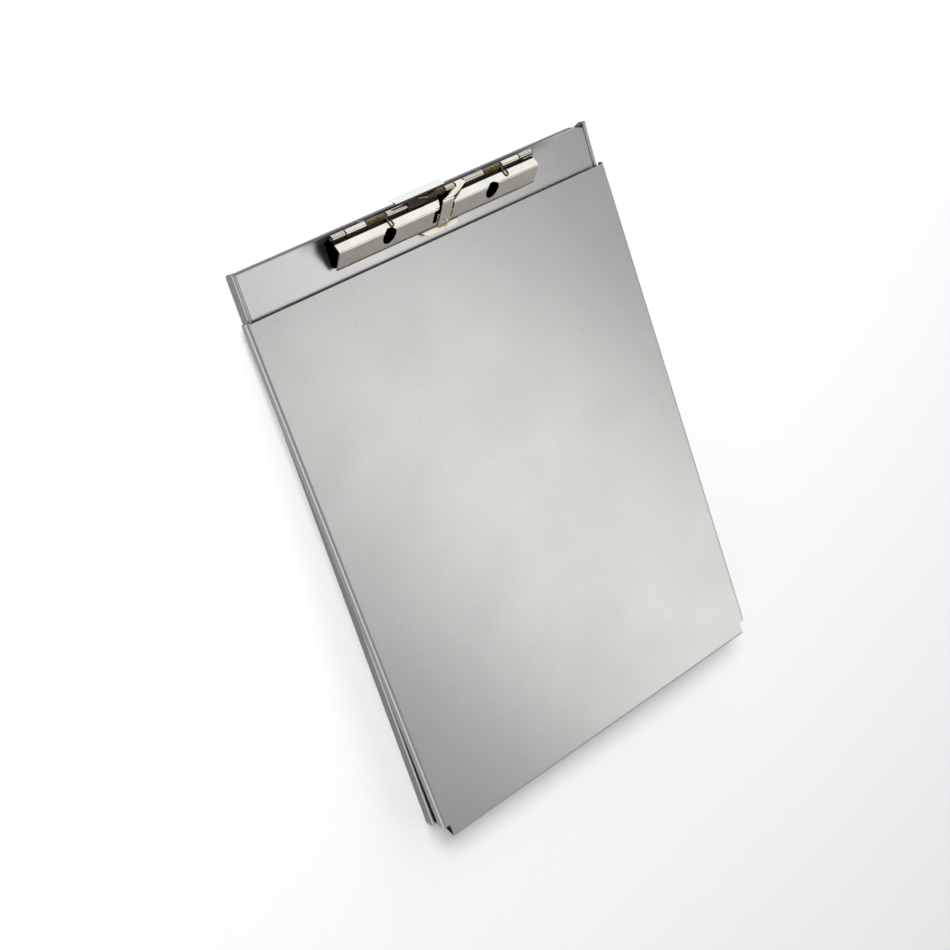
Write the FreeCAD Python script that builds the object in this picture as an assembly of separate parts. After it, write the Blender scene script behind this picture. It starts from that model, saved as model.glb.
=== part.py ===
import FreeCAD
import Part
import math
import os
from FreeCAD import Vector

# Storage clipboard box for letter-size forms: a shallow folded tray, a wedge-shaped writing plate
# hinged at the foot, and a sprung bar clip on a fixed ledge at the head.
# Millimetres. X across, +Y towards the clip, +Z up, the box lying closed on its back.

# Tray
tray_width = 229.0
tray_length = 319.7
tray_height = 9.0
tray_sheet = 1.0
tray_bend = 1.9
hem_gap = 0.4
hem_depth = 3.6
wall_head_overhang = 0.3
wall_foot_setback = 0.3
wall_head_round = 7.8
panel_head_setback = 6.0
wall_foot_round = 3.5
wall_top_round = 1.0
foot_wall_y = -0.4
foot_corner_relief = 0.6

# Ledge that carries the clip
ledge_drop = 1.06
ledge_sheet = 1.0
ledge_bend = 0.6
ledge_curl = 5.0
ledge_depth = 33.0
ledge_lip = 2.2
ledge_floor_flange = 13.0
ledge_side_gap = 0.15
ledge_corner_cut = 2.6
ledge_corner_length = 7.4

# Writing plate
plate_side_overhang = 3.1
plate_sheet = 0.8
plate_foot_height = 27.9
plate_head_rise = 3.41
plate_head_back = 24.5
plate_foot_bend = 1.2
plate_side_bend = 1.6
side_flange_overhang = 0.8
side_flange_setback = 7.7
side_flange_depth = 5.0
side_flange_round = 3.0
corner_notch = 4.5
foot_flange_taper_share = 0.19

# Foot hinge
hinge_axis_rise = 2.0
hinge_leaf_sheet = 0.6
hinge_barrel_radius = 1.8
hinge_leaf_height = 8.2
hinge_end_margin = 4.5
hinge_knuckles = 11
hinge_side_gap = 0.15
hinge_edge_gap = 0.25
hinge_rivets = 6
hinge_rivet_height = 5.2
running_gap = 0.05

# Clip
clip_offset = 2.7
clip_length = 130.0
clip_sheet = 0.7
clip_axis_back = 1.5
clip_axis_rise = 8.91
clip_barrel_radius = 1.7
clip_side_gap = 0.15
clip_edge_gap = 0.3
clip_bend = 0.75
curl_gap_angle = 8.0
jaw_overhang_gap = 0.5
jaw_ridge_forward = 7.2
jaw_ridge_rise = 3.9
jaw_tip_forward = 16.6
jaw_tip_drop = 5.01
base_front_forward = 15.0
base_rear_forward = 2.0
base_wall_drop = 2.65
access_hole_radius = 4.1
access_hole_x = 33.5
access_hole_forward = 9.8
slot_left = -5.2
slot_ridge_left = -2.2
slot_rear_left = 2.4
slot_right = 7.6
slot_rise = 3.4
slot_round = 0.9

# Strap and tongue in the middle of the jaw
strap_left = -1.5
strap_right = 5.7
strap_reach = 19.0
strap_bend = 1.8
strap_end_overhang = 0.4
strap_end_round = 1.6
neck_front_forward = 3.2
neck_rear_forward = -0.2
neck_coil_gap = 0.6
tongue_left = -11.6
tongue_right = 13.3
tongue_front_left = -7.9
tongue_front_right = 11.5
tongue_front_reach = 3.2
tongue_drop = 1.24
tongue_tab_rise = 7.0
tongue_tab_left = -1.1
tongue_tab_right = 11.0
tongue_shoulder = 1.6
tongue_round = 1.0
tongue_notch_gap = 0.9
strap_rivet_x = 3.2
strap_rivet_rise = 2.45
strap_rivet_head = 2.1

# Thumb lever
lever_ridge_behind = 3.9
lever_ridge_rise = 3.9
lever_pad_length = 5.8
lever_pad_angle = 73.0
lever_pad_left = -26.0
lever_pad_right = 5.2
lever_flare_start = 2.0
lever_finger_forward = 10.8
lever_finger_width = 8.0
lever_finger_root = 0.5
lever_corner_round = 1.5

# Springs
wire = 0.7
coil_gap = 0.05
spring_turns = 9
spring_face_gap = 0.08
spring_loop_width = 2.0
spring_loop_reach = 6.4
spring_loop_back = 3.0
spring_bend = 1.0
spring_tail_drop = 6.45
lever_spring_tail_rise = 0.42
lever_spring_angle = 140.0
lever_spring_rest = 3.4
lever_spring_rise = 3.0

# Rivets
rivet_shank_radius = 1.6
rivet_head_radius = 2.6
rivet_head_height = 1.1
rivet_shop_radius = 2.4
rivet_shop_height = 0.8
rivet_hole_gap = 0.03
hinge_rivet_shank = 1.2
hinge_rivet_head = 2.1
hinge_rivet_dome = 0.8
overrun = 1.0

# Where each knuckle or coil of the clip's hinge line starts, as a share of the clip's length,
# and which piece it belongs to.
knuckle_share = [-0.5, -0.4354, -0.3388, -0.2431, -0.1423, -0.0508, 0.0446, 0.0946, 0.14,
                 0.2431, 0.3346, 0.4277, 0.5]
knuckle_owner = ["base", "jaw", "left coil", "base", "lever", "middle coil", "base", "strap", "base",
                 "right coil", "jaw", "base"]

across = Vector(1, 0, 0)
upward = Vector(0, 0, 1)


def turned(direction, angle):
    """A flat direction turned to the left by an angle in degrees."""
    turn = math.radians(angle)
    cosine = math.cos(turn)
    sine = math.sin(turn)
    return (direction[0] * cosine - direction[1] * sine, direction[0] * sine + direction[1] * cosine)


def moved(point, direction, distance):
    """A flat point moved along a flat direction."""
    return (point[0] + direction[0] * distance, point[1] + direction[1] * distance)


def heading(start, end):
    """The unit direction and the distance from one flat point to another."""
    gap = (end[0] - start[0], end[1] - start[1])
    distance = math.hypot(gap[0], gap[1])
    return (gap[0] / distance, gap[1] / distance), distance


def left_of(direction):
    """The direction square to a flat direction, on its left."""
    return (-direction[1], direction[0])


def tangent_point(point, centre, radius, side):
    """Where a line from the point touches the circle that it passes on the given side."""
    direction, distance = heading(point, centre)
    angle = math.degrees(math.asin(radius / distance))
    along = turned(direction, side * angle)
    reach = math.sqrt(distance * distance - radius * radius)
    return moved(point, along, reach)


def round_about(start, centre, turn, radius):
    """Start, middle and end of an arc about a centre, from a start direction through a turn."""
    ray, _ = heading(centre, start)
    return (moved(centre, ray, radius), moved(centre, turned(ray, turn / 2), radius),
            moved(centre, turned(ray, turn), radius))


def sheet_side(points, bends, offset, curl):
    """One face line of a bent sheet, as runs of points: two for a straight, three for an arc."""
    runs = []
    direction, _ = heading(points[0], points[1])
    here = moved(points[0], left_of(direction), offset)
    for index, bend in enumerate(bends):
        before, before_length = heading(points[index], points[index + 1])
        after, after_length = heading(points[index + 1], points[index + 2])
        turn = math.degrees(math.atan2(before[0] * after[1] - before[1] * after[0],
                                       before[0] * after[0] + before[1] * after[1]))
        side = math.copysign(1, turn)
        half_turn = math.tan(math.radians(abs(turn)) / 2)
        reach = min(bend * half_turn, before_length / 2, after_length / 2)
        if len(bends) == 1:
            reach = min(bend * half_turn, before_length, after_length)
        radius = reach / half_turn
        start = moved(points[index + 1], before, -reach)
        centre = moved(start, left_of(before), side * radius)
        arc_radius = radius - side * offset
        if arc_radius > coil_gap:
            first, middle, last = round_about(start, centre, turn, arc_radius)
            runs.append([here, first])
            runs.append([first, middle, last])
            here = last
        else:
            spread = offset / math.cos(math.radians(turn) / 2)
            corner = moved(points[index + 1], turned(left_of(before), turn / 2), spread)
            runs.append([here, corner])
            here = corner
    direction, _ = heading(points[-2], points[-1])
    end = moved(points[-1], left_of(direction), offset)
    runs.append([here, end])
    if curl:
        centre, sweep = curl
        radius = math.dist(end, centre)
        third = sweep / 3
        first = end
        for _ in range(3):
            begin, middle, last = round_about(first, centre, third, radius)
            runs.append([first, middle, last])
            first = last
    return runs


def sheet_face(points, bends, sheet, place, curl=None):
    """Flat outline of a bent sheet about its middle line, with an end rolled into a barrel."""
    left = sheet_side(points, bends, sheet / 2, curl)
    right = sheet_side(points, bends, -sheet / 2, curl)
    back = [list(reversed(run)) for run in reversed(right)]
    runs = left + [[left[-1][-1], back[0][0]]] + back + [[back[-1][-1], left[0][0]]]
    edges = []
    for run in runs:
        ends = [place(point) for point in run]
        if ends[0].distanceToPoint(ends[-1]) < 1e-6:
            continue
        if len(ends) == 2:
            edges.append(Part.LineSegment(ends[0], ends[1]).toShape())
        else:
            edges.append(Part.Arc(ends[0], ends[1], ends[2]).toShape())
    return Part.Face(Part.Wire(edges))


def lengthwise(points, bends, sheet, low_x, high_x, curl=None):
    """A bent sheet whose section lies in the Y-Z plane, from low_x to high_x."""
    face = sheet_face(points, bends, sheet, lambda point: Vector(low_x, point[0], point[1]), curl)
    return face.extrude(across * (high_x - low_x))


def rounded_outline(corners, radii, place):
    """A flat face through the corners, each rounded by its own radius."""
    count = len(corners)
    edges = []
    ends = []
    for index, corner in enumerate(corners):
        before, before_length = heading(corners[index - 1], corner)
        after, after_length = heading(corner, corners[(index + 1) % count])
        turn = math.degrees(math.atan2(before[0] * after[1] - before[1] * after[0],
                                       before[0] * after[0] + before[1] * after[1]))
        if not radii[index]:
            ends.append((corner, None, corner))
            continue
        half_turn = math.tan(math.radians(abs(turn)) / 2)
        reach = min(radii[index] * half_turn, before_length / 2, after_length / 2)
        start = moved(corner, before, -reach)
        side = math.copysign(1, turn)
        centre = moved(start, left_of(before), side * reach / half_turn)
        ends.append(round_about(start, centre, turn, reach / half_turn))
    for index, (start, middle, end) in enumerate(ends):
        if middle:
            edges.append(Part.Arc(place(start), place(middle), place(end)).toShape())
        following = place(ends[(index + 1) % count][0])
        if place(end).distanceToPoint(following) > 1e-6:
            edges.append(Part.LineSegment(place(end), following).toShape())
    return Part.Face(Part.Wire(edges))


def upright(corners, radii, low_z, high_z):
    """A prism that stands on a rounded outline given in X and Y."""
    face = rounded_outline(corners, radii, lambda point: Vector(point[0], point[1], low_z))
    return face.extrude(upward * (high_z - low_z))


def sideways(corners, radii, low_x, high_x):
    """A prism along X on a rounded outline given in Y and Z."""
    face = rounded_outline(corners, radii, lambda point: Vector(low_x, point[0], point[1]))
    return face.extrude(across * (high_x - low_x))


def block(low, high):
    """A rectangular block between two corners."""
    size = high - low
    return Part.makeBox(size.x, size.y, size.z, low)


def rod(radius, start, end):
    """A round bar from one point to another."""
    line = end - start
    return Part.makeCylinder(radius, line.Length, start, line)


def mirrored(shape):
    """The same shape on the other side of the box's middle."""
    return shape.mirror(Vector(0, 0, 0), across)


def rivet(place, axis, grip, shank, head, dome, shop, shop_height):
    """A domed rivet: head above the place, shank through the grip, formed head below."""
    bulge = (head * head + dome * dome) / (2 * dome)
    ball = Part.makeSphere(bulge, Vector(0, 0, dome - bulge))
    cap = ball.common(Part.makeCylinder(head + overrun, dome + overrun))
    stem = Part.makeCylinder(shank, grip, Vector(0, 0, -grip))
    foot = Part.makeCylinder(shop, shop_height, Vector(0, 0, -grip - shop_height))
    body = cap.fuse([stem, foot]).removeSplitter()
    body.Placement = FreeCAD.Placement(place, FreeCAD.Rotation(upward, axis))
    return body


def barrel_sweep(inner, outer):
    """How far a sheet rolls round a barrel before its end meets its own flat."""
    return 360 - math.degrees(math.acos(inner / outer)) - curl_gap_angle


# Sizes that follow from the ones above.
tray_half = tray_width / 2
wall_inner = tray_half - tray_sheet
hem_width = tray_sheet * 2 + hem_gap
hem_inner = tray_half - hem_width
ledge_top = tray_height - ledge_drop
hinge_length = tray_width - hinge_end_margin * 2
hinge_axis_z = tray_height + hinge_axis_rise
ledge_half = hem_inner - ledge_side_gap
ledge_front_y = tray_length - ledge_depth
hinge_plane = foot_wall_y + tray_sheet
hinge_axis_y = hinge_plane + hinge_leaf_sheet - hinge_barrel_radius
hinge_axis = (hinge_axis_y, hinge_axis_z)
hinge_bore = hinge_barrel_radius - hinge_leaf_sheet
hinge_middle = hinge_barrel_radius - hinge_leaf_sheet / 2
foot_wall_top = hinge_axis_z - hinge_barrel_radius - hinge_edge_gap
plate_half = tray_half + plate_side_overhang
plate_head_y = tray_length - plate_head_back
plate_head_height = ledge_top + plate_head_rise
plate_outer_y = hinge_plane - plate_sheet
plate_slope = (plate_foot_height - plate_head_height) / (plate_head_y - plate_outer_y)
panel_half = plate_half - corner_notch
clip_axis_y = tray_length - clip_axis_back
clip_axis_z = ledge_top + clip_axis_rise
clip_axis = (clip_axis_y, clip_axis_z)
jaw_ridge_y = clip_axis_y - jaw_ridge_forward
jaw_ridge_z = clip_axis_z + jaw_ridge_rise
jaw_tip_y = clip_axis_y - jaw_tip_forward
jaw_tip_z = clip_axis_z - jaw_tip_drop
base_front_y = clip_axis_y - base_front_forward
base_rear_y = clip_axis_y - base_rear_forward
access_hole_y = clip_axis_y - access_hole_forward
neck_front_y = clip_axis_y - neck_front_forward
neck_rear_y = clip_axis_y - neck_rear_forward
tongue_front_y = jaw_tip_y - tongue_front_reach
tongue_z = jaw_tip_z - tongue_drop
lever_ridge_y = clip_axis_y + lever_ridge_behind
lever_ridge_z = clip_axis_z + lever_ridge_rise
lever_finger_front_y = clip_axis_y - lever_finger_forward
spring_tail_z = clip_axis_z - spring_tail_drop
lever_spring_tail_z = ledge_top + clip_sheet + lever_spring_tail_rise
clip_bore = clip_barrel_radius - clip_sheet
clip_middle = clip_barrel_radius - clip_sheet / 2
clip_clear = clip_barrel_radius + clip_edge_gap
stations = [clip_offset + share * clip_length for share in knuckle_share]
face_up, jaw_front_length = heading((jaw_tip_y, jaw_tip_z), (jaw_ridge_y, jaw_ridge_z))
face_out = left_of(face_up)


def tray_pan():
    """Back panel with hemmed side walls and a foot wall, folded from one sheet."""
    middle = tray_sheet / 2
    wall_x = tray_half - middle
    fold = (tray_sheet + hem_gap) / 2
    top = tray_height - middle
    section = [(0, middle), (wall_x, middle), (wall_x, top), (wall_x - tray_sheet - hem_gap, top),
               (wall_x - tray_sheet - hem_gap, tray_height - hem_depth)]
    low_y = foot_wall_y + tray_sheet
    face = sheet_face(section, [tray_bend, fold, fold], tray_sheet,
                      lambda point: Vector(point[0], 0, point[1]))
    half = face.extrude(Vector(0, tray_length + wall_head_overhang, 0))
    side = [(wall_foot_setback, 0), (tray_length + wall_head_overhang, 0),
            (tray_length + wall_head_overhang, tray_height), (wall_foot_setback, tray_height)]
    rounds = [wall_foot_round, wall_head_round, wall_top_round, wall_top_round]
    inner = hem_inner
    blank = sideways(side, rounds, inner, tray_width)
    half = half.common(blank.fuse(block(Vector(0, -overrun, -overrun),
                                        Vector(inner, tray_length * 2, tray_height))))
    foot_start = foot_wall_y + tray_sheet / 2 + tray_bend
    half = half.cut([
        block(Vector(-overrun, -overrun, -overrun), Vector(inner, foot_start, tray_height)),
        block(Vector(-overrun, tray_length - panel_head_setback, -overrun),
              Vector(inner, tray_length * 2, tray_height))])
    foot = [(foot_start, middle), (low_y - middle, middle), (low_y - middle, foot_wall_top)]
    wall = lengthwise(foot, [tray_bend], tray_sheet, 0, inner - foot_corner_relief)
    half = half.fuse(wall)
    for x in rivet_places():
        half = half.cut(hinge_rivet_hole(x, tray_rivet_z()))
    return half.fuse(mirrored(half)).removeSplitter()


def head_ledge():
    """Channel across the head: floor flange, curled head wall, clip strip and its stiffening lip."""
    middle = ledge_sheet / 2
    wall_y = tray_length - middle
    low = tray_sheet + middle
    top = ledge_top - middle
    front = ledge_front_y + middle
    section = [(tray_length - ledge_floor_flange, low), (wall_y, low), (wall_y, top), (front, top),
               (front, ledge_top - ledge_lip)]
    ledge = lengthwise(section, [ledge_curl, ledge_bend, ledge_bend], ledge_sheet,
                       -ledge_half, ledge_half)
    notch = [(ledge_half - ledge_corner_length, tray_length + overrun),
             (ledge_half - ledge_corner_length, tray_length),
             (ledge_half, tray_length - ledge_corner_cut), (ledge_half, tray_length + overrun)]
    ledge = ledge.cut(upright(notch, [0] * len(notch), -overrun, tray_height))
    for x in clip_rivet_places():
        hole = rod(rivet_shank_radius + rivet_hole_gap, Vector(x, access_hole_y, tray_height / 2),
                   Vector(x, access_hole_y, tray_height))
        ledge = ledge.cut(hole)
    return ledge


def rivet_places():
    """X places of the foot hinge's rivets on one side of the middle."""
    pitch = hinge_length / hinge_rivets
    return [pitch * (index + 1 / 2) for index in range(hinge_rivets // 2)]


def tray_rivet_z():
    """Height of the rivets through the tray's foot wall."""
    return hinge_rivet_height


def plate_rivet_z():
    """Height of the rivets through the writing plate's foot flange."""
    return 2 * hinge_axis_z - hinge_rivet_height


def hinge_rivet_hole(x, z):
    """The hole for one hinge rivet, through sheet and leaf."""
    radius = hinge_rivet_shank + rivet_hole_gap
    return rod(radius, Vector(x, plate_outer_y - overrun, z), Vector(x, hinge_plane + overrun, z))


def clip_rivet_places():
    """X places of the two rivets that hold the clip."""
    return [clip_offset - access_hole_x, clip_offset + access_hole_x]


def on_slope(y, drop):
    """A point of the writing plate, so far below its top face."""
    return (y, plate_foot_height - (y - plate_outer_y) * plate_slope - drop)


def writing_plate():
    """Sloping panel with a side flange along each side and a deep foot flange."""
    middle = plate_sheet / 2
    foot_y = hinge_plane - middle
    flange_end = hinge_axis_z + hinge_barrel_radius + hinge_edge_gap
    section = [on_slope(plate_head_y, middle), on_slope(foot_y, middle), (foot_y, flange_end)]
    panel = lengthwise(section, [plate_foot_bend], plate_sheet, 0, panel_half)
    foot_top = plate_foot_height - plate_foot_bend * 2
    taper = (foot_top - flange_end) * foot_flange_taper_share
    corner = [(foot_top, panel_half + overrun), (foot_top, panel_half),
              (flange_end - overrun, panel_half - taper), (flange_end - overrun, panel_half + overrun)]
    face = rounded_outline(corner, [0, 0, 0, 0],
                           lambda point: Vector(point[1], plate_outer_y - overrun, point[0]))
    panel = panel.cut(face.extrude(Vector(0, plate_sheet * 2 + overrun * 2, 0)))
    for x in rivet_places():
        panel = panel.cut(hinge_rivet_hole(x, plate_rivet_z()))
    half = panel.fuse(side_flange())
    return half.fuse(mirrored(half)).removeSplitter()


def side_flange():
    """Right edge of the writing plate, bent down over the tray's wall."""
    middle = plate_sheet / 2
    outer = plate_half - middle
    start = side_flange_setback + plate_outer_y
    end = plate_head_y + side_flange_overhang
    inner = plate_half - plate_sheet - plate_side_bend

    def place(point):
        y, z = on_slope(start, point[1])
        return Vector(point[0], y, z)

    points = [(panel_half - overrun, middle), (outer, middle), (outer, side_flange_depth)]
    face = sheet_face(points, [plate_side_bend], plate_sheet, place)
    flange = face.extrude(Vector(0, end - start, -(end - start) * plate_slope))
    outline = [on_slope(start, side_flange_depth), on_slope(end, side_flange_depth),
               on_slope(end, -overrun), on_slope(start, -overrun)]
    rounds = [side_flange_round, side_flange_round / 2, 0, 0]
    flange = flange.common(sideways(outline, rounds, panel_half - overrun, plate_half + overrun))
    beyond = block(Vector(0, plate_head_y, 0), Vector(inner, tray_length, plate_foot_height))
    return flange.cut(beyond)


def hinge_leaf(first, direction):
    """One leaf of the foot hinge: every other knuckle from the first, rolled round the pin."""
    leaf_y = hinge_plane + hinge_leaf_sheet / 2
    near_z = hinge_axis_z + direction * (hinge_barrel_radius + hinge_edge_gap)
    far_z = hinge_axis_z + direction * hinge_leaf_height
    half = hinge_length / 2
    low = min(near_z, far_z)
    leaf = block(Vector(-half, hinge_plane, low),
                 Vector(half, hinge_plane + hinge_leaf_sheet, low + abs(far_z - near_z)))
    pitch = hinge_length / hinge_knuckles
    sweep = -direction * barrel_sweep(hinge_bore, hinge_barrel_radius)
    pieces = []
    for index in range(first, hinge_knuckles, 2):
        start = index * pitch - half + hinge_side_gap
        end = (index + 1) * pitch - half - hinge_side_gap
        points = [(leaf_y, near_z + direction * hinge_edge_gap), (leaf_y, hinge_axis_z)]
        pieces.append(lengthwise(points, [], hinge_leaf_sheet, start, end, (hinge_axis, sweep)))
    leaf = leaf.fuse(pieces).removeSplitter()
    height = plate_rivet_z() if direction > 0 else tray_rivet_z()
    for x in rivet_places():
        leaf = leaf.cut([hinge_rivet_hole(x, height), hinge_rivet_hole(-x, height)])
    return leaf


def hinge_pin():
    """Plain pin the length of the foot hinge."""
    half = hinge_length / 2
    radius = hinge_bore - running_gap
    return rod(radius, Vector(-half, hinge_axis_y, hinge_axis_z), Vector(half, hinge_axis_y, hinge_axis_z))


def hinge_rivet_row(z, outer_y):
    """A row of small rivets through the foot hinge, heads outside."""
    grip = hinge_plane + hinge_leaf_sheet - outer_y
    row = []
    for x in rivet_places():
        for side in (-1, 1):
            row.append(rivet(Vector(side * x, outer_y, z), Vector(0, -1, 0), grip, hinge_rivet_shank,
                             hinge_rivet_head, hinge_rivet_dome, hinge_rivet_head,
                             rivet_shop_height))
    return Part.makeCompound(row)


def clip_ranges(owner):
    """Start and end of each knuckle that a piece has on the clip's pin, with side clearance."""
    return [(stations[index] + clip_side_gap, stations[index + 1] - clip_side_gap)
            for index, name in enumerate(knuckle_owner) if name == owner]


def base_section():
    """Middle line of the clip base: front lip, floor, rear wall up to its barrel."""
    middle = clip_sheet / 2
    floor = ledge_top + middle
    front = base_front_y + middle
    lip_front = base_front_y
    jaw_inner = jaw_tip_z + (lip_front - jaw_tip_y) * face_up[1] / face_up[0]
    lip_top = jaw_inner - (clip_sheet + clip_edge_gap) / face_up[0]
    rear = (base_rear_y, floor)
    touch = tangent_point(rear, clip_axis, clip_middle, -1)
    return [(front, lip_top), (front, floor), rear, touch]


def clip_base():
    """Lower half of the clip, riveted to the ledge."""
    lip, front, rear, touch = base_section()
    up, _ = heading(rear, touch)
    wall_top = moved(rear, up, (clip_axis_z - base_wall_drop - rear[1]) / up[1])
    start = stations[0] + clip_side_gap
    end = stations[-1] - clip_side_gap
    base = lengthwise([lip, front, rear, wall_top], [clip_bend, clip_bend], clip_sheet, start, end)
    sweep = barrel_sweep(clip_bore, clip_barrel_radius)
    knuckles = []
    for low, high in clip_ranges("base"):
        knuckles.append(lengthwise([wall_top, touch], [], clip_sheet, low, high, (clip_axis, sweep)))
    base = base.fuse(knuckles).removeSplitter()
    gap = tongue_notch_gap
    notch_left = clip_offset + tongue_left - gap
    notch_right = clip_offset + tongue_right + gap
    notch = block(Vector(notch_left, base_front_y - overrun, ledge_top + clip_sheet + gap),
                  Vector(notch_right, base_front_y + overrun + clip_sheet, jaw_ridge_z))
    base = base.cut(notch)
    for x in clip_rivet_places():
        base = base.cut(rod(rivet_shank_radius + rivet_hole_gap,
                            Vector(x, access_hole_y, ledge_top - overrun),
                            Vector(x, access_hole_y, ledge_top + overrun + clip_sheet)))
    return base


def jaw_middle():
    """Middle line of the roof-shaped jaw, from its tip over the ridge to its barrel."""
    middle = clip_sheet / 2
    tip = moved((jaw_tip_y, jaw_tip_z), face_out, -middle)
    ridge_line = moved((jaw_ridge_y, jaw_ridge_z), face_out, -middle)
    touch = tangent_point((jaw_ridge_y, jaw_ridge_z - clip_sheet / 2), clip_axis, clip_middle, -1)
    top_down, _ = heading((jaw_ridge_y, jaw_ridge_z - clip_sheet / 2), touch)
    span = (ridge_line[1] - touch[1]) - (ridge_line[0] - touch[0]) * top_down[1] / top_down[0]
    slide = span / (face_up[0] * top_down[1] / top_down[0] - face_up[1])
    ridge = moved(ridge_line, face_up, slide)
    return tip, ridge, touch, top_down


def jaw_cutouts():
    """Access holes over the rivets and the slot round the strap and its neck."""
    cuts = []
    for x in clip_rivet_places():
        cuts.append(rod(access_hole_radius, Vector(x, access_hole_y, jaw_tip_z - overrun),
                        Vector(x, access_hole_y, jaw_ridge_z + overrun)))
    front_y = moved((jaw_tip_y, jaw_tip_z), face_up, slot_rise)[0]
    gap = slot_right - strap_right
    _, strap_end = clip_ranges("strap")[0]
    left = clip_offset + slot_left
    right = clip_offset + slot_right
    ridge_left = clip_offset + slot_ridge_left
    outline = [(left, front_y), (right, front_y), (right, neck_front_y - gap),
               (strap_end + gap, neck_rear_y - gap), (strap_end + gap, clip_axis_y),
               (clip_offset + slot_rear_left, clip_axis_y), (ridge_left, jaw_ridge_y),
               (left, jaw_ridge_y - clip_bend)]
    rounds = [slot_round, slot_round, 0, 0, 0, 0, 0, 0]
    cuts.append(upright(outline, rounds, jaw_tip_z - overrun, jaw_ridge_z + overrun))
    return cuts


def upper_jaw():
    """Roof-shaped bar that closes on the base's lip, hung from two barrels."""
    tip, ridge, touch, top_down = jaw_middle()
    start = stations[0] + jaw_overhang_gap
    end = stations[-1] - jaw_overhang_gap
    back = math.sqrt(clip_clear * clip_clear - clip_bore * clip_bore)
    rear = moved(touch, top_down, -back)
    jaw = lengthwise([tip, ridge, rear], [clip_bend], clip_sheet, start, end)
    sweep = barrel_sweep(clip_bore, clip_barrel_radius)
    knuckles = []
    for low, high in clip_ranges("jaw"):
        knuckles.append(lengthwise([rear, touch], [], clip_sheet, low, high, (clip_axis, sweep)))
    jaw = jaw.fuse(knuckles).removeSplitter()
    jaw = jaw.cut(jaw_cutouts())
    return jaw.cut(strap_rivet_hole())


def on_jaw(rise, height):
    """A point so far up the jaw's front face from its tip, and so high above the face."""
    return moved(moved((jaw_tip_y, jaw_tip_z), face_up, rise), face_out, height)


def strap_rivet_hole():
    """The hole for the strap's rivet, square to the jaw's front face."""
    low = on_jaw(strap_rivet_rise, -clip_sheet * 3)
    high = on_jaw(strap_rivet_rise, clip_sheet * 2)
    x = clip_offset + strap_rivet_x
    return rod(rivet_shank_radius + rivet_hole_gap, Vector(x, low[0], low[1]), Vector(x, high[0], high[1]))


def jaw_strap():
    """Strap that ties the jaw's middle to the pin: barrel, neck that slants over the next barrel, plate."""
    middle = clip_sheet / 2
    low, high = clip_ranges("strap")[0]
    end = on_jaw(-strap_end_overhang, middle)
    bend = on_jaw(strap_reach, middle)
    touch = tangent_point(bend, clip_axis, clip_middle, 1)
    sweep = -barrel_sweep(clip_bore, clip_barrel_radius)
    left = clip_offset + strap_left
    right = clip_offset + strap_right
    strap = lengthwise([end, bend, touch], [strap_bend], clip_sheet, left, high, (clip_axis, sweep))
    start_y = on_jaw(-strap_end_overhang, clip_sheet)[0] - overrun
    tip_y = start_y + overrun
    outline = [(left, tip_y), (right, tip_y), (right, neck_front_y), (high, neck_rear_y),
               (high, clip_axis_y * 2), (low, clip_axis_y * 2), (low, neck_rear_y),
               (left, neck_front_y)]
    rounds = [strap_end_round, strap_end_round, overrun, overrun, 0, 0, overrun, overrun]
    plan = upright(outline, rounds, jaw_tip_z - overrun * 2, bend[1] + overrun * 2)
    neighbours = rod(clip_clear + neck_coil_gap, Vector(left - overrun, clip_axis_y, clip_axis_z),
                     Vector(low, clip_axis_y, clip_axis_z))
    return strap.common(plan).cut([neighbours, strap_rivet_hole()])


def paper_tongue():
    """Flat tongue under the jaw's tip, held by the strap's rivet."""
    middle = clip_sheet / 2
    depth = -clip_sheet - middle
    tab = on_jaw(tongue_tab_rise, depth)
    line = on_jaw(0, depth)
    bend = moved(line, face_up, (tongue_z - line[1]) / face_up[1])
    points = [(tongue_front_y, tongue_z), bend, tab]
    left = clip_offset + tongue_left
    right = clip_offset + tongue_right
    sheet = lengthwise(points, [clip_bend], clip_sheet, left, right)
    tab_left = clip_offset + tongue_tab_left
    tab_right = clip_offset + tongue_tab_right
    shoulder_y = jaw_tip_y + tongue_shoulder
    outline = [(clip_offset + tongue_front_left, tongue_front_y),
               (clip_offset + tongue_front_right, tongue_front_y), (right, jaw_tip_y),
               (right, shoulder_y), (tab_right, shoulder_y), (tab_right, clip_axis_y),
               (tab_left, clip_axis_y), (tab_left, shoulder_y), (left, shoulder_y),
               (left, jaw_tip_y)]
    rounds = [tongue_round, tongue_round] + [0] * len(outline[2:])
    plan = upright(outline, rounds, ledge_top, jaw_ridge_z)
    return sheet.common(plan).cut(strap_rivet_hole())


def strap_rivet():
    """Domed rivet through strap, jaw and tongue."""
    seat = on_jaw(strap_rivet_rise, clip_sheet)
    place = Vector(clip_offset + strap_rivet_x, seat[0], seat[1])
    return rivet(place, Vector(0, face_out[0], face_out[1]), clip_sheet * 3, rivet_shank_radius,
                 strap_rivet_head, rivet_head_height, rivet_shop_radius, rivet_shop_height)


def clip_base_rivets():
    """The two domed rivets that hold the clip base to the ledge."""
    grip = clip_sheet + ledge_sheet
    return Part.makeCompound([
        rivet(Vector(x, access_hole_y, ledge_top + clip_sheet), upward, grip, rivet_shank_radius,
              rivet_head_radius, rivet_head_height, rivet_shop_radius, rivet_shop_height)
        for x in clip_rivet_places()])


def clip_pin():
    """Pin through all the knuckles and coils of the clip."""
    radius = clip_bore - running_gap
    return rod(radius, Vector(stations[0], clip_axis_y, clip_axis_z),
               Vector(stations[-1], clip_axis_y, clip_axis_z))


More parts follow.
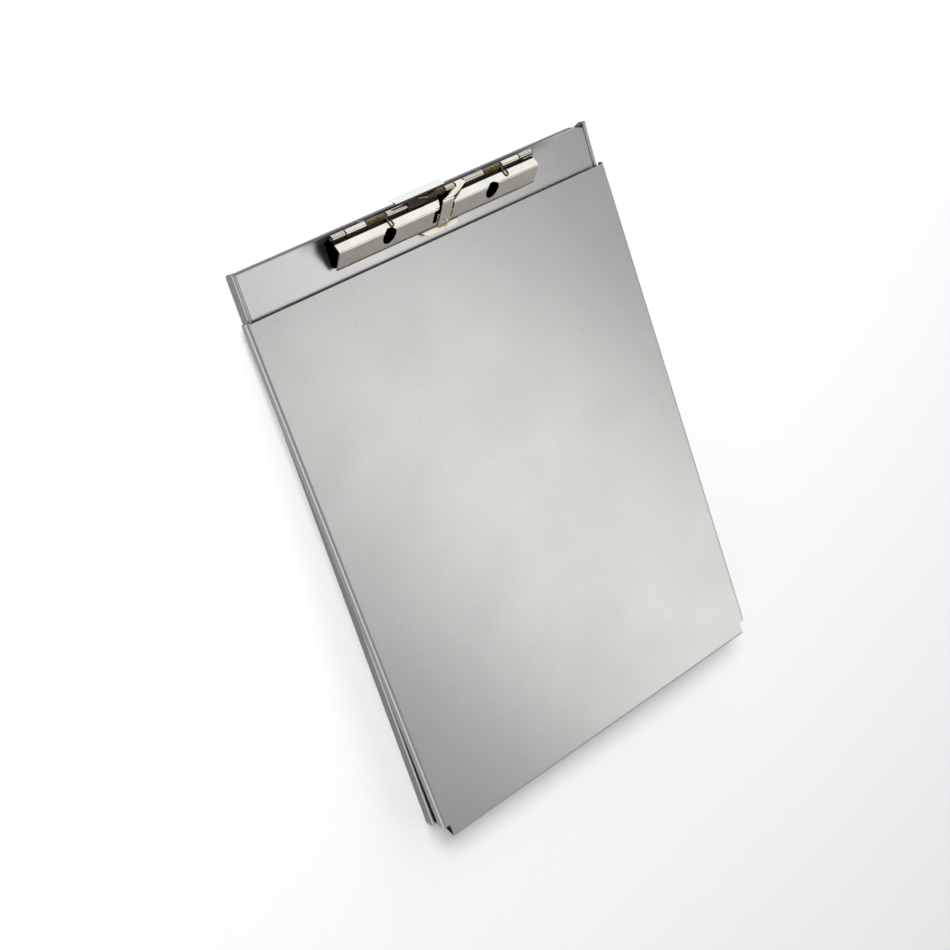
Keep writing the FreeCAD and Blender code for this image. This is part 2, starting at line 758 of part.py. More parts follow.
def thumb_lever():
    """Thumb lever: barrel, flared plate, pad bent down behind, and a finger under the jaw."""
    middle = clip_sheet / 2
    low, high = clip_ranges("lever")[0]
    ridge = (lever_ridge_y, lever_ridge_z - middle)
    pad_direction = turned((1, 0), -lever_pad_angle)
    pad_end = moved(ridge, pad_direction, lever_pad_length)
    touch = tangent_point(ridge, clip_axis, clip_middle, -1)
    sweep = barrel_sweep(clip_bore, clip_barrel_radius)
    left = clip_offset + lever_pad_left
    right = clip_offset + lever_pad_right
    lever = lengthwise([pad_end, ridge, touch], [clip_bend], clip_sheet, left, right)
    flare_y = touch[0] + lever_flare_start
    rear_y = pad_end[0] + overrun
    outline = [(low, clip_axis_y - clip_clear), (high, clip_axis_y - clip_clear), (high, flare_y),
               (right, lever_ridge_y - clip_sheet), (right, rear_y), (left, rear_y),
               (left, lever_ridge_y - clip_sheet), (low, flare_y)]
    plan = upright(outline, [0, 0, 0, lever_corner_round, 0, 0, lever_corner_round, 0], ledge_top,
                   jaw_ridge_z + overrun)
    near = moved(touch, heading(touch, ridge)[0], lever_flare_start / 2)
    curl = lengthwise([near, touch], [], clip_sheet, low, high, (clip_axis, sweep))
    lever = lever.common(plan).fuse(curl)
    centre = (low + high) / 2
    finger_z = clip_axis_z - clip_barrel_radius
    finger_rear_y = clip_axis_y - lever_finger_root
    finger = block(Vector(centre - lever_finger_width / 2, lever_finger_front_y, finger_z),
                   Vector(centre + lever_finger_width / 2, finger_rear_y, finger_z + clip_sheet))
    return lever.fuse(finger).removeSplitter()


def joint_arc(start, along, end):
    """An arc that leaves the start along a direction and ends at the given point."""
    chord = end - start
    reach = chord.Length
    line = chord * (1 / reach)
    lean = along - line * along.dot(line)
    if lean.Length < 1e-9:
        return Part.LineSegment(start, end)
    angle = math.atan2(lean.Length, along.dot(line))
    lean.normalize()
    top = (start + end) * (1 / 2) + lean * (reach / 2 * math.tan(angle / 2))
    return Part.Arc(start, top, end)


def two_arcs(start, start_along, end, end_along):
    """Two arcs that join two points and keep both directions."""
    gap = end - start
    both = start_along + end_along
    slack = 2 * (1 - start_along.dot(end_along))
    lead = gap.dot(both)
    reach = (math.sqrt(lead * lead + slack * gap.dot(gap)) - lead) / slack
    joint = (start + start_along * reach + end - end_along * reach) * (1 / 2)
    second = (end - end_along * reach) - (start + start_along * reach)
    second.normalize()
    return [joint_arc(start, start_along, joint), joint_arc(joint, second, end)]


def rounded_route(points, radii):
    """Straight runs through the points with tangent arcs at each turn."""
    pieces = []
    here = points[0]
    for index, radius in enumerate(radii):
        corner = points[index + 1]
        before = corner - points[index]
        after = points[index + 2] - corner
        before.normalize()
        after.normalize()
        turn = before.getAngle(after)
        reach = radius * math.tan(turn / 2)
        start = corner - before * reach
        end = corner + after * reach
        if here.distanceToPoint(start) > 1e-6:
            pieces.append(Part.LineSegment(here, start))
        pieces.append(joint_arc(start, before, end))
        here = end
    if here.distanceToPoint(points[-1]) > 1e-6:
        pieces.append(Part.LineSegment(here, points[-1]))
    return pieces


def coil_station(radius, first_x, pitch, start_angle, turns):
    """Place and direction on the coil's centre line after so many turns."""
    angle = math.radians(start_angle) + turns * 2 * math.pi
    place = Vector(first_x + pitch * turns, clip_axis_y + radius * math.cos(angle),
                   clip_axis_z + radius * math.sin(angle))
    along = Vector(pitch, -2 * math.pi * radius * math.sin(angle), 2 * math.pi * radius * math.cos(angle))
    along.normalize()
    return place, along


def coil_pieces(radius, first_x, pitch, start_angle, quarters):
    """The coil's centre line, two arcs to each quarter turn."""
    pieces = []
    for index in range(quarters):
        start, start_along = coil_station(radius, first_x, pitch, start_angle, index / 4)
        end, end_along = coil_station(radius, first_x, pitch, start_angle, (index + 1) / 4)
        pieces.extend(two_arcs(start, start_along, end, end_along))
    return pieces


def tube(pieces, name):
    """One round wire along the pieces, with its least gap to itself printed."""
    path = Part.Wire([piece.toShape() for piece in pieces])
    first = pieces[0]
    start = first.value(first.FirstParameter)
    along = first.tangent(first.FirstParameter)[0]
    ring = Part.Wire(Part.makeCircle(wire / 2, start, along))
    solid = path.makePipeShell([ring], True, False)
    print(name, "length", round(path.Length, 2), "volume", round(solid.Volume, 3),
          "least gap to itself", round(least_gap(path), 3))
    return solid


def least_gap(path):
    """The smallest clear space between two stretches of the wire, on points of its centre line."""
    spacing = wire / 3
    points = path.discretize(Distance=spacing)
    apart = int(wire * 3 / spacing)
    nearest = path.Length
    for index, point in enumerate(points):
        for other in points[index + apart:]:
            nearest = min(nearest, point.distanceToPoint(other))
    return nearest - wire


def coil_sizes(owner, quarters):
    """Radius, first place and pitch of the coil that fills one gap of the hinge line."""
    radius = clip_bore + coil_gap + wire / 2
    low, high = clip_ranges(owner)[0]
    first = low + wire / 2 + clip_side_gap
    last = high - wire / 2 - clip_side_gap
    return radius, first, (last - first) * 4 / quarters


def jaw_spring(owner, name):
    """Torsion spring: tail behind the base's wall, coil on the pin, loop pressing on the jaw."""
    quarters = spring_turns * 4 + 1
    radius, first_x, pitch = coil_sizes(owner, quarters)
    tail_start, tail_along = coil_station(radius, first_x, pitch, 0, 0)
    tail_length = (tail_start.z - spring_tail_z) / tail_along.z
    tail_end = tail_start - tail_along * tail_length
    coil_end, end_along = coil_station(radius, first_x, pitch, 0, quarters / 4)
    _, _, touch, top_down = jaw_middle()
    face_side = left_of(top_down)
    height = wire / 2 + spring_face_gap + clip_sheet / 2

    def on_top(back):
        return moved(moved(touch, top_down, -back), face_side, height)

    level = coil_end.z
    foot = on_top(0)
    back = (foot[1] - level) / top_down[1]
    meet_y = on_top(back)[0]
    meet = coil_end + end_along * ((meet_y - coil_end.y) / end_along.y)
    far = on_top(spring_loop_reach)
    near = on_top(spring_loop_back + (back - spring_loop_back) / 2)
    loop = [coil_end, meet, Vector(meet.x, far[0], far[1]),
            Vector(meet.x + spring_loop_width, far[0], far[1]),
            Vector(meet.x + spring_loop_width, near[0], near[1])]
    turn_radius = spring_loop_width / 2
    pieces = [Part.LineSegment(tail_end, tail_start)]
    pieces.extend(coil_pieces(radius, first_x, pitch, 0, quarters))
    pieces.extend(rounded_route(loop, [spring_bend, turn_radius, turn_radius]))
    return tube(pieces, name)


def lever_spring():
    """Middle spring: one end on the lever's plate, the other down to the base's floor."""
    start_angle = lever_spring_angle
    quarters = spring_turns * 4
    radius, first_x, pitch = coil_sizes("middle coil", quarters)
    start, along = coil_station(radius, first_x, pitch, start_angle, 0)
    plate_ridge = (lever_ridge_y, lever_ridge_z - clip_sheet / 2)
    touch = tangent_point(plate_ridge, clip_axis, clip_middle, -1)
    up_plate, _ = heading(touch, plate_ridge)
    side = left_of(up_plate)
    height = clip_sheet / 2 + wire / 2 + spring_face_gap
    rest = moved(moved(touch, up_plate, lever_spring_rest), side, height)
    low, high = clip_ranges("lever")[0]
    tip = Vector((low + high) / 2, rest[0], rest[1])
    leave = start - along * lever_spring_rise
    end, end_along = coil_station(radius, first_x, pitch, start_angle, quarters / 4)
    fall = (end.z - lever_spring_tail_z) / -end_along.z
    pieces = rounded_route([tip, leave, start], [spring_bend])
    pieces.extend(coil_pieces(radius, first_x, pitch, start_angle, quarters))
    pieces.append(Part.LineSegment(end, end + end_along * fall))
    return tube(pieces, "lever_spring")


def main():
    """Build every piece, stand the box over its origin and write one file for each."""
    shapes = {
        "tray_pan": tray_pan(),
        "head_ledge": head_ledge(),
        "clip_base": clip_base(),
        "clip_base_rivets": clip_base_rivets(),
        "clip_pin": clip_pin(),
        "jaw_spring_left": jaw_spring("left coil", "jaw_spring_left"),
        "lever_spring": lever_spring(),
        "jaw_spring_right": jaw_spring("right coil", "jaw_spring_right"),
        "upper_jaw": upper_jaw(),
        "jaw_strap": jaw_strap(),
        "strap_rivet": strap_rivet(),
        "paper_tongue": paper_tongue(),
        "thumb_lever": thumb_lever(),
        "tray_hinge_leaf": hinge_leaf(0, -1),
        "tray_hinge_rivets": hinge_rivet_row(tray_rivet_z(), foot_wall_y),
        "plate_hinge_leaf": hinge_leaf(1, 1),
        "plate_hinge_rivets": hinge_rivet_row(plate_rivet_z(), plate_outer_y),
        "hinge_pin": hinge_pin(),
        "writing_plate": writing_plate(),
    }
    whole = Part.makeCompound(list(shapes.values())).optimalBoundingBox(True, False)
    shift = Vector(-whole.Center.x, -whole.Center.y, -whole.ZMin)
    os.makedirs("parts", exist_ok=True)
    for name, shape in shapes.items():
        shape.translate(shift)
        shape.exportStep("parts/" + name + ".step")
        box = shape.BoundBox
        print(name, "solids", len(shape.Solids), "valid", shape.isValid(), "volume", round(shape.Volume, 1),
              "from", [round(v, 2) for v in (box.XMin, box.YMin, box.ZMin)],
              "to", [round(v, 2) for v in (box.XMax, box.YMax, box.ZMax)])
    print("origin is at", [round(-v, 3) for v in (shift.x, shift.y, shift.z)], "from the tray's foot")
    print("foot hinge axis at", round(hinge_axis_y + shift.y, 3), round(hinge_axis_z + shift.z, 3))
    print("clip axis at", round(clip_axis_y + shift.y, 3), round(clip_axis_z + shift.z, 3))


main()
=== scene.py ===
import math
import bpy
import bmesh
from mathutils import Matrix, Vector

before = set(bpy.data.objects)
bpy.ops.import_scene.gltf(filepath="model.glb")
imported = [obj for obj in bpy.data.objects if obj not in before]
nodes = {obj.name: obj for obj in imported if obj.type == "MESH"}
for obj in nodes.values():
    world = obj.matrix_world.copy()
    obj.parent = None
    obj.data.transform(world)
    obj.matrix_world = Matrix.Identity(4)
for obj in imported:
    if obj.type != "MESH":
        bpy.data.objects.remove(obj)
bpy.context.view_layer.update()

# ---- Where the photographer stood ------------------------------------------------------------
# The box lies flat and is seen from above, past its head and left corner. The camera is turned
# in the hand, so that the box stands on its foot corner in the picture. Place, turn and lens are
# those that put 23 points of the box where the photo has them.


def stand(place, right, up, back):
    """Where a thing stands, as one matrix: its place, its right side, its top and its back."""
    turn = Matrix((right, up, back)).transposed().to_4x4()
    return Matrix.Translation(place) @ turn


camera_data = bpy.data.cameras.new("camera")
camera_data.sensor_width = 36.0
camera_data.lens = 57.14
camera = bpy.data.objects.new("camera", camera_data)
bpy.context.scene.collection.objects.link(camera)
camera.matrix_world = stand(place=Vector((-0.40637, 0.285685, 0.66352)),
                            right=Vector((0.7663, -0.2893, 0.5736)),
                            up=Vector((0.4308, 0.8938, -0.1248)),
                            back=Vector((-0.4766, 0.3427, 0.8096)))
bpy.context.scene.camera = camera

# ---- Tray: back panel with side walls and foot wall ------------------------------------------
# Aluminium sheet 1 mm thick, folded on a press brake, hemmed along its side walls and left with
# the mill's fine grain. The grain runs the length of the box.


def tone(colour):
    """A written sRGB colour as the linear colour that a node takes."""
    parts = [int(colour[i:i + 2], 16) / 255 for i in (0, 2, 4)]
    linear = [p / 12.92 if p <= 0.04045 else ((p + 0.055) / 1.055) ** 2.4 for p in parts]
    return (*linear, 1.0)


def add(owner, kind, links=None, **settings):
    """Adds one node to a material or the world. Settings are its properties or inputs, links
    its inputs' sources. Where inputs share a name, the setting i1 is the one with index 1."""
    node = owner.node_tree.nodes.new(kind)
    for name, value in settings.items():
        if hasattr(node, name):
            setattr(node, name, value)
            continue
        socket = int(name[1:]) if name[1:].isdigit() else name.replace("_", " ")
        node.inputs[socket].default_value = value
    for name, source in (links or {}).items():
        owner.node_tree.links.new(source, node.inputs[name])
    return node


def new_material(name):
    """An empty material."""
    material = bpy.data.materials.new(name)
    material.use_nodes = True
    material.node_tree.nodes.clear()
    return material


def ramp(owner, source, *stops):
    """A colour ramp with the given (place, colour) stops. A colour is sRGB text or a level."""
    node = add(owner, "ShaderNodeValToRGB", {"Fac": source})
    band = node.color_ramp
    while len(band.elements) < len(stops):
        band.elements.new(0.5)
    for element, (place, colour) in zip(band.elements, stops):
        element.position = place
        element.color = tone(colour) if isinstance(colour, str) else (colour,) * 3 + (1.0,)
    return node.outputs["Color"]


def soft_step(material, value, start, end, **ends):
    """A mask that climbs from 0 to 1 in a soft curve, unless `ends` gives other levels."""
    return add(material, "ShaderNodeMapRange", {"Value": value}, From_Min=start, From_Max=end,
               interpolation_type="SMOOTHSTEP", **ends).outputs[0]


def lay_over(material, mask, below, above):
    """The colour `below` where the mask is 0 and `above` where it is 1, each text or a source."""
    node = add(material, "ShaderNodeMix", {"Factor": mask}, data_type="RGBA")
    first_colour, second_colour, result = 6, 7, 2
    for place, colour in ((first_colour, below), (second_colour, above)):
        if isinstance(colour, str):
            node.inputs[place].default_value = tone(colour)
        else:
            material.node_tree.links.new(colour, node.inputs[place])
    return node.outputs[result]


def finish_surface(material, colour, sheen, bump, **settings):
    """Ends a material with its shader: colour, roughness and relief, and in `settings` what is
    the same all over."""
    shader = add(material, "ShaderNodeBsdfPrincipled",
                 {"Base Color": colour, "Roughness": sheen, "Normal": bump.outputs["Normal"]},
                 **settings)
    add(material, "ShaderNodeOutputMaterial", {"Surface": shader.outputs["BSDF"]})


def sheet_aluminium(name, dark, light, shaded_wall, grain, rough):
    """Mill-finished aluminium sheet. Rolling leaves lines a few hundredths of a millimetre apart,
    too fine for the picture, so `grain` draws them coarser, as so many to the metre along each
    axis. They give the flat faces a faint streak. Upright walls and the folds at head and foot
    are painted a darker grey: painted shade, standing in for the dark surroundings they mirror.
    Cloudy patches some 35 mm wide change the gloss a little, so that reflections fade unevenly,
    as on handled sheet."""
    m = new_material(name)
    coordinates = add(m, "ShaderNodeTexCoord")
    place = coordinates.outputs["Object"]
    stretched = add(m, "ShaderNodeMapping", {"Vector": place}, Scale=grain)
    lines = add(m, "ShaderNodeTexNoise", {"Vector": stretched.outputs["Vector"]},
                Scale=1.0, Detail=3.0, Roughness=0.6)
    clouds = add(m, "ShaderNodeTexNoise", {"Vector": place},
                 Scale=28.0, Detail=2.0, Roughness=0.5)
    rolled = ramp(m, lines.outputs["Fac"], (0.3, dark), (0.7, light))
    facing = add(m, "ShaderNodeSeparateXYZ", {"Vector": coordinates.outputs["Normal"]})
    level = add(m, "ShaderNodeMath", {0: facing.outputs["Z"]}, operation="ABSOLUTE")
    lengthways = add(m, "ShaderNodeMath", {0: facing.outputs["Y"]}, operation="ABSOLUTE")
    # Painted shade: upright walls and the head and foot folds take the darker wall colour.
    lying = soft_step(m, level.outputs[0], 0.2, 0.7)
    unfolded = soft_step(m, lengthways.outputs[0], 0.15, 0.5, To_Min=1.0, To_Max=0.0)
    flat = add(m, "ShaderNodeMath", {0: lying, 1: unfolded}, operation="MULTIPLY")
    colour = lay_over(m, flat.outputs[0], shaded_wall, rolled)
    sheen = ramp(m, clouds.outputs["Fac"], (0.3, rough - 0.02), (0.7, rough + 0.02))
    bump = add(m, "ShaderNodeBump", {"Height": lines.outputs["Fac"]},
               Strength=0.05, Distance=0.0001)
    finish_surface(m, colour, sheen, bump, Metallic=1.0)
    return m


def finish_node(name, material):
    """Gives a CAD node its material."""
    mesh = nodes[name].data
    mesh.materials.clear()
    mesh.materials.append(material)


# Across the box the lines are half a millimetre apart, and along it they are 3 mm long.
fine_grain = (1800.0, 360.0, 1800.0)
finish_node("tray_pan", sheet_aluminium("mill_finished_aluminium_tray_sheet", dark="D4D4D1",
                                        light="DBDBD8", shaded_wall="747076", grain=fine_grain,
                                        rough=0.31))

# ---- Ledge at the head -----------------------------------------------------------------------
# The same sheet as the tray. Behind the clip a dark grey band is painted over it: painted
# shade, standing in for the dark clip that the strip mirrors there. It fades out past both ends
# of the clip.


def stain(material, mask, colour):
    """Lays another colour over what a material has, where the mask is 1."""
    shader = next(n for n in material.node_tree.nodes if n.type == "BSDF_PRINCIPLED")
    below = shader.inputs["Base Color"].links[0].from_socket
    over = lay_over(material, mask, below, colour)
    material.node_tree.links.new(over, shader.inputs["Base Color"])


def beyond(material, axis, start, end):
    """A mask that rises from 0 to 1 between two places along one axis of the box."""
    place = add(material, "ShaderNodeSeparateXYZ",
                {"Vector": add(material, "ShaderNodeTexCoord").outputs["Object"]})
    return add(material, "ShaderNodeMapRange", {"Value": place.outputs[axis]},
               From_Min=start, From_Max=end).outputs[0]


ledge_sheet = sheet_aluminium("mill_finished_aluminium_with_painted_shade", dark="D2D2D0",
                              light="D9D9D7", shaded_wall="6A666C", grain=fine_grain, rough=0.28)
# Painted shade: a dark grey band on the ledge behind the clip.
painted_shade_behind_clip = beyond(ledge_sheet, "Y", 0.1535, 0.1580)
for outside, inside in ((-0.078, -0.060), (0.092, 0.064)):
    painted_shade_behind_clip = add(ledge_sheet, "ShaderNodeMath",
               {0: painted_shade_behind_clip, 1: beyond(ledge_sheet, "X", outside, inside)},
               operation="MULTIPLY").outputs[0]
stain(ledge_sheet, painted_shade_behind_clip, "5B585C")
finish_node("head_ledge", ledge_sheet)

# ---- Foot hinge ------------------------------------------------------------------------------
# A continuous hinge: two aluminium leaves with rolled knuckles on a drawn steel pin, each
# riveted to its sheet with six domed aluminium rivets. Leaves and pin were drawn along the
# hinge, so their lines run across the box. The rivets' marks run no way in particular.
hinge_sheet = sheet_aluminium("rolled_aluminium_hinge_strip", dark="BEBEC0", light="CCCCCD",
                              shaded_wall="A2A1A4", grain=(120.0, 1600.0, 1600.0), rough=0.30)
rivet_metal = sheet_aluminium("headed_aluminium_rivet", dark="CFCFD0", light="DEDEDE",
                              shaded_wall="B4B3B5", grain=(900.0, 900.0, 900.0), rough=0.26)
pin_steel = sheet_aluminium("drawn_steel_pin", dark="A9A7A4", light="BAB8B4", shaded_wall="989693",
                            grain=(200.0, 1400.0, 1400.0), rough=0.22)
for name in ("tray_hinge_leaf", "plate_hinge_leaf"):
    finish_node(name, hinge_sheet)
for name in ("tray_hinge_rivets", "plate_hinge_rivets"):
    finish_node(name, rivet_metal)
finish_node("hinge_pin", pin_steel)

# ---- Writing plate ---------------------------------------------------------------------------
# The lid that is written on: one plain aluminium sheet, bent down into a deep flange at the
# foot and into tapering flanges over the tray's walls. Same sheet as the tray, with a lighter
# painted shade on its walls and folds.
finish_node("writing_plate", sheet_aluminium("mill_finished_aluminium_plate_sheet",
                                             dark="D4D4D1", light="DBDBD8", shaded_wall="8B888D",
                                             grain=fine_grain, rough=0.31))

# ---- Clip: jaw, strap, pin and rivet ---------------------------------------------------------
# Stamped steel, barrel plated with nickel: smooth, a little warm, and nearly a mirror, with the
# faint waves that stamping leaves.


def plated_nickel(name, dark, light, inside, rough, waves):
    """Nickel plate over stamped steel. The plate is smooth, so it shows clear reflections that
    only bend a little over waves, `waves` to the metre, with a few dull specks from handling.
    Whatever faces down is painted the darker second colour: painted shade, so that the
    undersides of the folds and the clip's open ends look deep."""
    m = new_material(name)
    coordinates = add(m, "ShaderNodeTexCoord")
    place = coordinates.outputs["Object"]
    swell = add(m, "ShaderNodeTexNoise", {"Vector": place},
                Scale=waves, Detail=2.0, Roughness=0.4)
    specks = add(m, "ShaderNodeTexNoise", {"Vector": place},
                 Scale=900.0, Detail=2.0, Roughness=0.6)
    plate = ramp(m, swell.outputs["Fac"], (0.35, dark), (0.65, light))
    facing = add(m, "ShaderNodeSeparateXYZ", {"Vector": coordinates.outputs["Normal"]})
    # Painted shade: faces that point down take the darker colour.
    outer = soft_step(m, facing.outputs["Z"], -0.25, 0.25)
    colour = lay_over(m, outer, inside, plate)
    sheen = ramp(m, specks.outputs["Fac"], (0.35, rough), (0.75, rough + 0.08))
    bump = add(m, "ShaderNodeBump", {"Height": swell.outputs["Fac"]},
               Strength=0.12, Distance=0.0003)
    finish_surface(m, colour, sheen, bump, Metallic=1.0)
    return m


# Where one knuckle ends and the next begins, in metres across the box, the middle of the pin,
# and how far from it the knuckles reach.
knuckle_ends = (-0.0623, -0.0539, -0.0413, -0.0289, -0.0158, -0.0039, 0.0085, 0.0150, 0.0209,
                0.0343, 0.0462, 0.0583, 0.0677)
pin_middle = Vector((0.0, 0.157335, 0.01685))
knuckle_reach = 0.0022


def paint_shade_between_knuckles(material, margin=None):
    """Painted shade on the knuckles: the cracks between knuckles, and the undersides that face
    the jaw, are painted near black. It draws the fine dark rings and the dark line along the
    pin. Off the knuckles, `margin` is the mask of what is painted as black."""
    coordinates = add(material, "ShaderNodeTexCoord")
    place = add(material, "ShaderNodeVectorMath", {0: coordinates.outputs["Object"]},
                i1=pin_middle, operation="SUBTRACT")
    axes = add(material, "ShaderNodeSeparateXYZ", {"Vector": place.outputs["Vector"]})
    round_pin = add(material, "ShaderNodeCombineXYZ",
                    {"Y": axes.outputs["Y"], "Z": axes.outputs["Z"]})
    radius = add(material, "ShaderNodeVectorMath", {0: round_pin.outputs["Vector"]},
                 operation="LENGTH")
    barrel = add(material, "ShaderNodeMath", {0: radius.outputs["Value"]}, i1=knuckle_reach,
                 operation="LESS_THAN")
    nearest = None
    for end in knuckle_ends:
        off = add(material, "ShaderNodeMath", {0: axes.outputs["X"]}, i1=end,
                  operation="SUBTRACT")
        off = add(material, "ShaderNodeMath", {0: off.outputs[0]}, operation="ABSOLUTE")
        nearest = off if nearest is None else add(
            material, "ShaderNodeMath", {0: nearest.outputs[0], 1: off.outputs[0]},
            operation="MINIMUM")
    # Painted shade: dark rings where knuckles meet, and dark undersides facing the jaw.
    ring = add(material, "ShaderNodeMapRange", {"Value": nearest.outputs[0]},
               From_Min=0.0003, From_Max=0.0005, To_Min=1.0, To_Max=0.0)
    facing = add(material, "ShaderNodeSeparateXYZ", {"Vector": coordinates.outputs["Normal"]})
    front = soft_step(material, facing.outputs["Y"], -0.55, -0.2, To_Min=1.0, To_Max=0.0)
    black = add(material, "ShaderNodeMath", {0: ring.outputs[0], 1: front},
                operation="MAXIMUM")
    painted_shade_mask = add(material, "ShaderNodeMix", {"Factor": barrel.outputs[0], "B": black.outputs[0]},
                data_type="FLOAT", A=0.0)
    if margin is not None:
        material.node_tree.links.new(margin, painted_shade_mask.inputs["A"])
    stain(material, painted_shade_mask.outputs["Result"], "1E1A17")


# The jaw: its rear margin, tucked under the knuckles, is painted as black as they are: painted
# shade.
jaw_plate = plated_nickel("nickel_plated_jaw", dark="D6CFC4", light="DED7CC",
                          inside="38332E", rough=0.10, waves=160.0)
paint_shade_between_knuckles(jaw_plate, beyond(jaw_plate, "Y", 0.15395, 0.1542))
finish_node("upper_jaw", jaw_plate)
strap_plate = plated_nickel("nickel_plated_strap", dark="DCD5CA", light="E4DDD2",
                            inside="38332E", rough=0.10, waves=160.0)
paint_shade_between_knuckles(strap_plate)
finish_node("jaw_strap", strap_plate)
for name in ("clip_pin", "strap_rivet"):
    finish_node(name, plated_nickel("nickel_plated_" + name, dark="D2CCC2", light="DAD5CC",
                                    inside="6E675F", rough=0.10, waves=300.0))

# ---- Clip: base and its rivets ---------------------------------------------------------------
# The base is the same stamping steel. Its knuckles on the pin are bright, and the trough below
# them, which the jaw covers, is painted near black, as are its rivets: painted shade under the
# jaw.
base_metal = plated_nickel("steel_base_painted_shade_below_knuckles", dark="2E2A26",
                           light="38332E", inside="2E2A26", rough=0.12, waves=160.0)
# Painted shade: below the knuckles the base keeps the near-black colour.
stain(base_metal, beyond(base_metal, "Z", 0.0140, 0.0150), "BDB6A6")
paint_shade_between_knuckles(base_metal)
finish_node("clip_base", base_metal)
finish_node("clip_base_rivets", plated_nickel("steel_base_rivet_painted_shade", dark="45403A",
                                              light="524C45", inside="2E2A26", rough=0.25,
                                              waves=300.0))

# ---- Clip springs ----------------------------------------------------------------------------
# Three torsion springs wound from one wire each: oil-tempered spring wire, which is brown from
# the heat and only a little shiny along its length.
spring_wire = plated_nickel("oil_tempered_spring_wire", dark="85765A", light="A29072",
                            inside="3A2E24", rough=0.26, waves=500.0)
for name in ("jaw_spring_left", "lever_spring", "jaw_spring_right"):
    finish_node(name, spring_wire)

# ---- Paper tongue ----------------------------------------------------------------------------
# A thin steel tongue under the jaw's tip, enamelled cream, which presses on the sheets.


def sprayed_enamel(name, dark, light):
    """Stoved enamel on steel: opaque and half glossy. Spraying leaves a fine orange peel about
    a millimetre across, which breaks up its shine, and tones that shift a little over 8 mm."""
    m = new_material(name)
    place = add(m, "ShaderNodeTexCoord").outputs["Object"]
    peel = add(m, "ShaderNodeTexNoise", {"Vector": place}, Scale=900.0, Detail=2.0)
    patches = add(m, "ShaderNodeTexNoise", {"Vector": place}, Scale=120.0, Detail=2.0)
    colour = ramp(m, patches.outputs["Fac"], (0.3, dark), (0.7, light))
    sheen = ramp(m, peel.outputs["Fac"], (0.3, 0.30), (0.7, 0.42))
    bump = add(m, "ShaderNodeBump", {"Height": peel.outputs["Fac"]},
               Strength=0.10, Distance=0.0001)
    finish_surface(m, colour, sheen, bump, IOR=1.5)
    return m


finish_node("paper_tongue", sprayed_enamel("cream_stoved_enamel", "E8DFC8", "F0E8D4"))

# ---- Thumb lever -----------------------------------------------------------------------------
# A stamped steel lever on the same pin. Behind the pin the pad is painted near white, a painted
# reflection of the bright room; the plate in front of it is painted dark, a painted reflection of
# shade.
lever_steel = plated_nickel("steel_lever_painted_reflections", dark="4A4440",
                            light="57504A", inside="38332E", rough=0.16, waves=160.0)
# Painted reflection: the pad behind the pin near white over the dark lever plate.
stain(lever_steel, beyond(lever_steel, "Y", 0.16095, 0.16115), "E0E4E0")
finish_node("thumb_lever", lever_steel)

# ---- Floor -----------------------------------------------------------------------------------
# A plain white floor, lifted to white where it is seen, and as bright as the room far off. The
# lift leaves the box's shadow on it.


def seen(owner):
    """1 where floor or room is seen, straight, mirrored or through something, and else 0."""
    path = add(owner, "ShaderNodeLightPath").outputs
    plain = add(owner, "ShaderNodeMath",
                {0: path["Is Camera Ray"], 1: path["Is Glossy Ray"]}, operation="MAXIMUM")
    return add(owner, "ShaderNodeMath",
               {0: plain.outputs[0], 1: path["Is Transmission Ray"]},
               operation="MAXIMUM").outputs[0]


bm = bmesh.new()
bmesh.ops.create_grid(bm, x_segments=1, y_segments=1, size=4.0)
floor_mesh = bpy.data.meshes.new("floor")
bm.to_mesh(floor_mesh)
bm.free()
floor = bpy.data.objects.new("floor", floor_mesh)
bpy.context.scene.collection.objects.link(floor)
paper = new_material("white_paper_floor")
on_floor = add(paper, "ShaderNodeTexCoord").outputs["Object"]
fibres = add(paper, "ShaderNodeTexNoise", {"Vector": on_floor}, Scale=300.0, Detail=2.0)
paper_colour = ramp(paper, fibres.outputs["Fac"], (0.3, "F2F2F2"), (0.7, "F6F6F6"))
matt = add(paper, "ShaderNodeBsdfDiffuse", {"Color": paper_colour})
distance = add(paper, "ShaderNodeVectorMath", {0: on_floor}, operation="LENGTH")
haze = soft_step(paper, distance.outputs["Value"], 0.6, 3.6, To_Min=0.20, To_Max=0.72)
lift = add(paper, "ShaderNodeMath", {0: seen(paper), 1: haze}, operation="MULTIPLY")
glow = add(paper, "ShaderNodeEmission", {"Strength": lift.outputs[0]})
both = add(paper, "ShaderNodeAddShader", {0: matt.outputs[0], 1: glow.outputs[0]})
add(paper, "ShaderNodeOutputMaterial", {"Surface": both.outputs[0]})
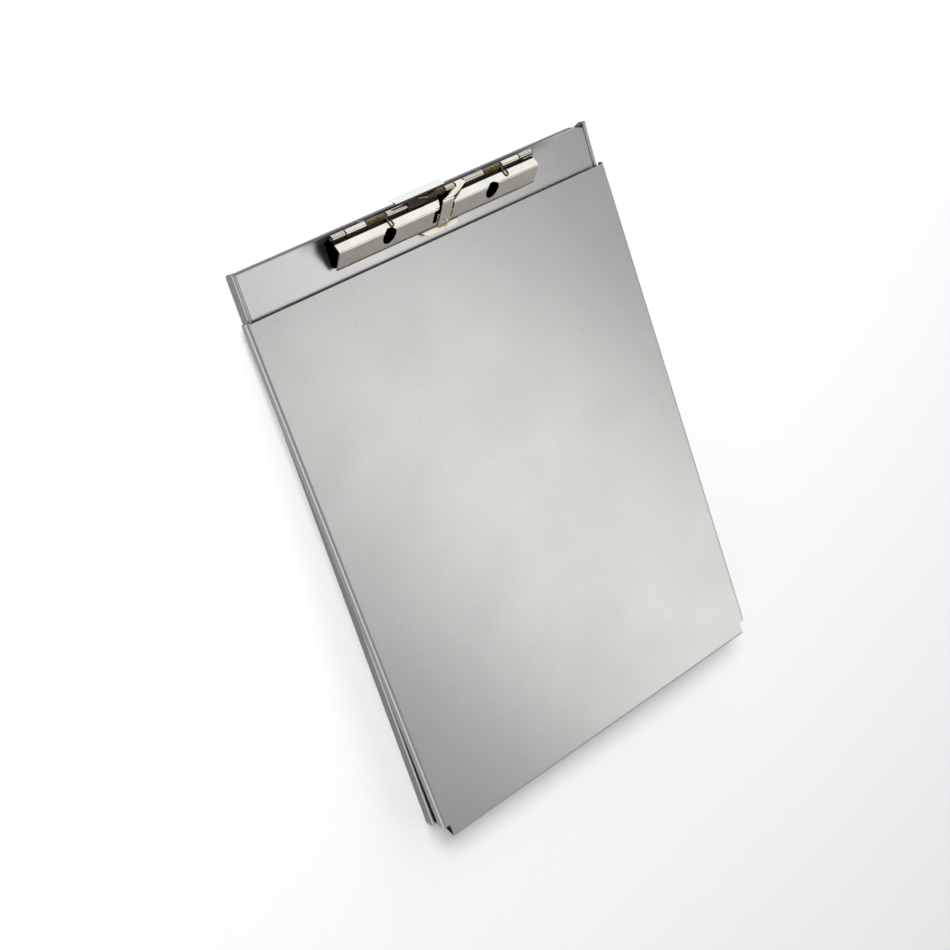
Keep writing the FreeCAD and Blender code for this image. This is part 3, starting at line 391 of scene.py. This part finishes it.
floor_mesh.materials.append(paper)

# ---- Light -----------------------------------------------------------------------------------
# A large soft window stands beyond the head of the box. The writing plate mirrors a strip of
# light, and the bends of the left walls a low one. A smaller key light draws the narrow shadow
# at the foot. The room is bright at the horizon, which the clip's nickel mirrors.


def soft_light(name, direction, distance, width, height, radiance, colour=(1, 1, 1),
               up=(0, 0, 1)):
    """A rectangular soft light that looks at the middle of the box, as bright as `radiance`
    over its face."""
    lamp = bpy.data.lights.new(name, "AREA")
    lamp.shape = "RECTANGLE"
    lamp.size, lamp.size_y = width, height
    lamp.energy = radiance * math.pi * width * height
    lamp.color = colour
    holder = bpy.data.objects.new(name, lamp)
    bpy.context.scene.collection.objects.link(holder)
    back = Vector(direction).normalized()
    side = Vector(up).cross(back).normalized()
    holder.matrix_world = stand(back * distance, side, back.cross(side), back)
    return holder


soft_light("window", direction=(0.42, 0.70, 0.58), distance=1.6, width=2.2, height=1.3,
           radiance=1.0, colour=(0.88, 0.97, 1.0))
soft_light("strip", direction=(0.505, -0.30, 0.81), distance=1.3, width=0.46, height=1.05,
           radiance=0.93, up=(0.156, -0.26, 0.0))
key = soft_light("key", direction=(-0.28, 0.60, 0.75), distance=1.7, width=0.6, height=0.6,
                 radiance=19.5)
key.visible_glossy = False  # or the sheet would mirror it as a glaring patch
soft_light("side", direction=(-0.88, -0.30, 0.30), distance=1.7, width=2.2, height=0.7,
           radiance=0.5)
world = bpy.data.worlds.new("room")
world.use_nodes = True
height = add(world, "ShaderNodeSeparateXYZ",
             {"Vector": add(world, "ShaderNodeTexCoord").outputs["Generated"]})
wall_colour = ramp(world, height.outputs["Z"], (0.0, "F9F8F7"), (0.42, "9E9D9E"))
share = add(world, "ShaderNodeMapRange", {"Value": seen(world)}, To_Min=0.45)
room = world.node_tree.nodes["Background"]
world.node_tree.links.new(wall_colour, room.inputs["Color"])
world.node_tree.links.new(share.outputs[0], room.inputs["Strength"])
bpy.context.scene.world = world

bpy.context.scene.view_settings.view_transform = "Standard"
